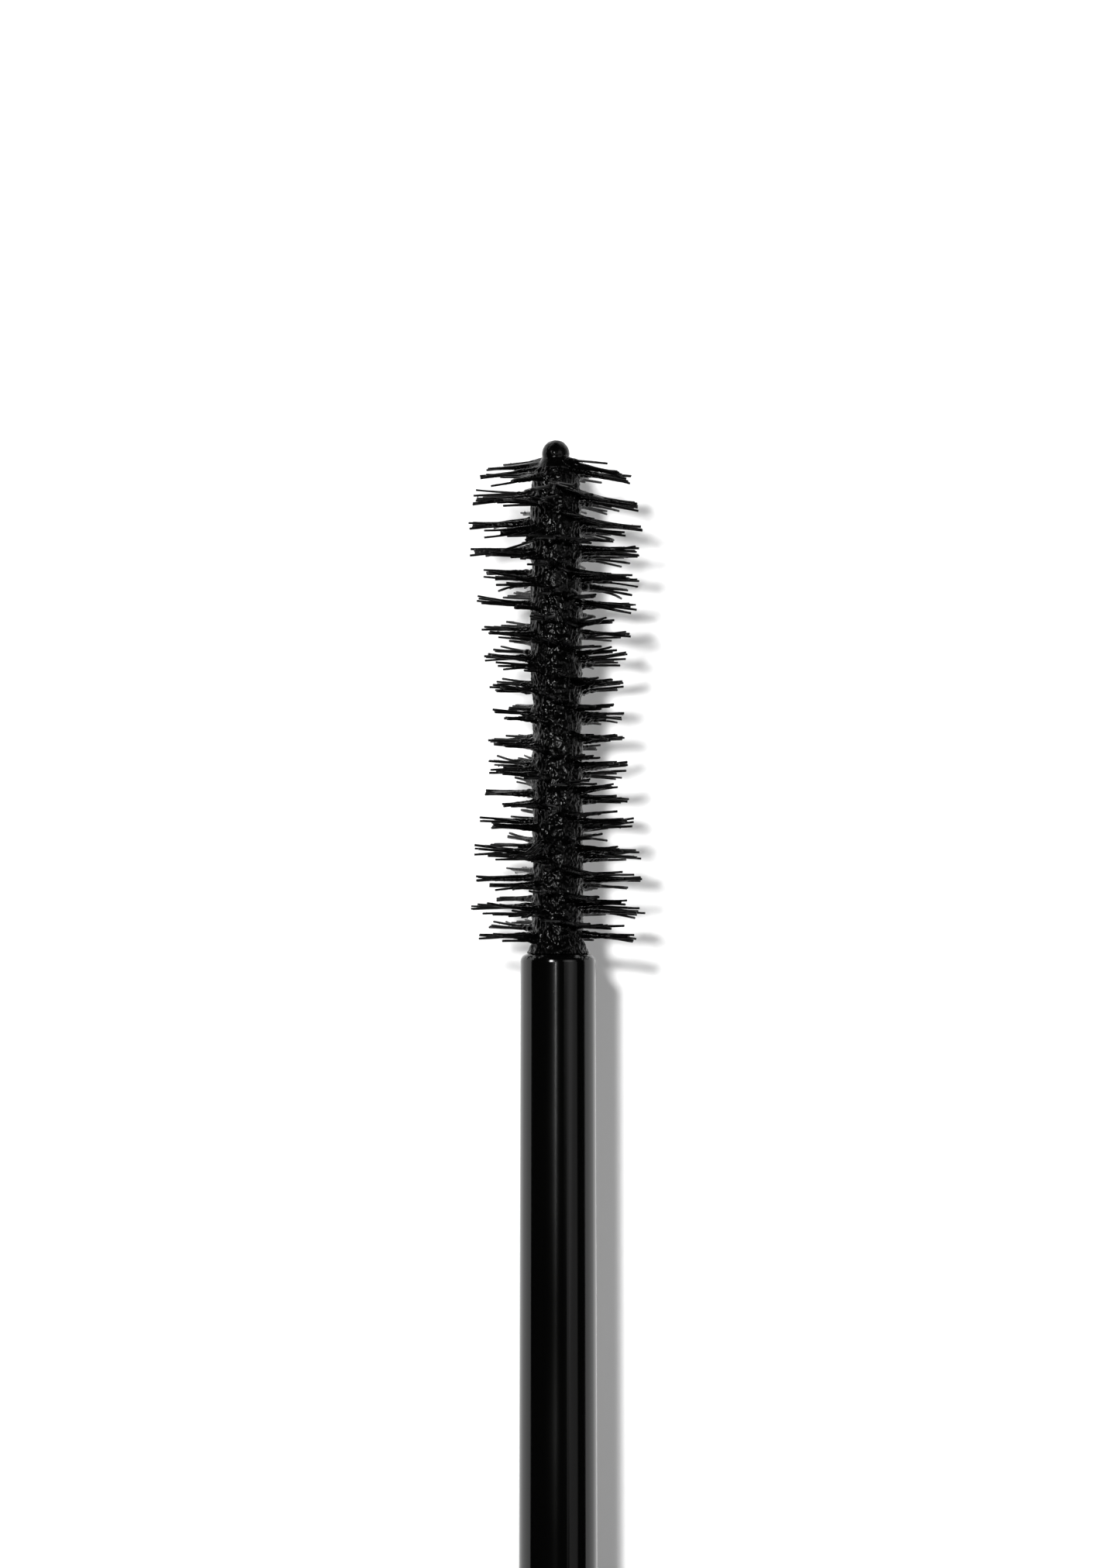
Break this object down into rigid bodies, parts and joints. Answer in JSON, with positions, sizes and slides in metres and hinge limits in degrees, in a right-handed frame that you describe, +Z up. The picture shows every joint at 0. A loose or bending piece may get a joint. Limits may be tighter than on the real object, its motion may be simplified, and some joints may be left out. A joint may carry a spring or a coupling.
{
  "type": "mascara",
  "caption": "Round screw-capped mascara with its wand drawn out: a twisted-wire brush on a slender stem that slides through a wiper into a double-walled bottle.",
  "frame": {"origin": "on the table, under the middle of the piece's length", "axes": "+Y runs from the cap along the stem and brush to the bottle's base, +Z is up, the piece lies on its side"},
  "size_m": [0.017, 0.2352, 0.017],
  "materials": {
    "gloss_black": "high gloss",
    "vial_plastic": "satin",
    "satin_trim": "satin, dark",
    "wiper_elastomer": "soft matte",
    "formula": "wet",
    "weight_steel": "plain",
    "insert_plastic": "satin",
    "stem_plastic": "high gloss",
    "wire_steel": "drawn wire",
    "bristle_nylon": "coated with formula",
    "liner_foam": "matte",
    "gasket_rubber": "matte"
  },
  "bodies": {
    "bottle": {"bottle_shell": "gloss_black", "base_plug": "gloss_black", "vial": "vial_plastic", "shoulder_collar": "satin_trim", "wiper": "wiper_elastomer", "formula_fill": "formula"},
    "gasket": {"neck_gasket": "gasket_rubber"},
    "liner": {"cap_liner": "liner_foam"},
    "wand": {"cap_shell": "gloss_black", "cap_end_disc": "satin_trim", "cap_weight": "weight_steel", "cap_insert": "insert_plastic", "stem": "stem_plastic", "core_wire": "wire_steel", "bristle_set": "bristle_nylon", "brush_formula": "formula"}
  },
  "joints": [
    {"name": "wand_slide", "type": "slide", "parent": "bottle", "child": "gasket", "axis": [0, 1, 0], "range_m": [0, 0.1103], "deforming": ["bristle_set"]},
    {"name": "cap_screw_travel", "type": "slide", "parent": "gasket", "child": "liner", "axis": [0, 1, 0], "range_m": [0, 0.0045]},
    {"name": "cap_turn", "type": "hinge", "parent": "liner", "child": "wand", "pos_m": [0, -0.07045, 0.0085], "axis": [0, 1, 0], "range_deg": [0, 540]}
  ],
  "couplings": [
    {"joint": "cap_screw_travel", "follows": "cap_turn", "m_per_rad": 0.00047746}
  ]
}
